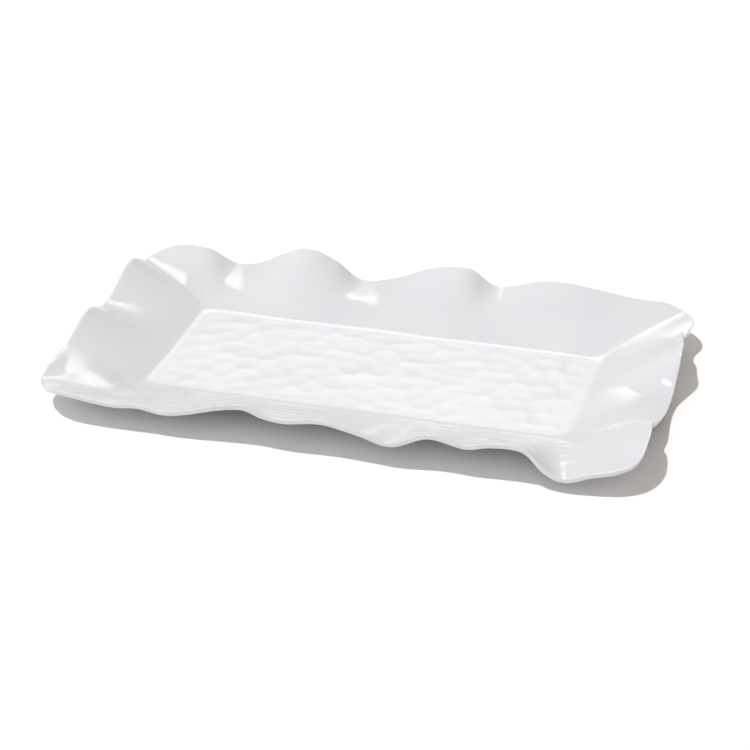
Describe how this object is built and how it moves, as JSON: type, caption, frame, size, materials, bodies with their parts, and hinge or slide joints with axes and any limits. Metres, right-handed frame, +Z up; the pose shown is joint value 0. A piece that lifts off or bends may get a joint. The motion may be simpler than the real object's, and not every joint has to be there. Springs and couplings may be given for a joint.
{
  "type": "serving platter",
  "caption": "Long oblong china serving platter with a flat hammered well, a wide ruffled wall with a thick rolled lip, and a low bare foot ring underneath.",
  "frame": {"origin": "middle of the platter's bounding box, on the surface that it stands on", "axes": "+X along the platter's length, +Y across it, +Z up out of the well"},
  "size_m": [0.509, 0.3133, 0.0434],
  "materials": {
    "fired_body": "fired clay body, wholly under glaze",
    "white_glaze": "smooth glossy white glaze",
    "bare_foot": "matt unglazed biscuit, lightly scuffed on its standing face",
    "under_glaze": "thin glossy white glaze inside the foot"
  },
  "bodies": {
    "root": {"china_body": "fired_body", "glaze_coat": "white_glaze", "foot_ring": "bare_foot", "glaze_under_well": "under_glaze"}
  },
  "joints": []
}
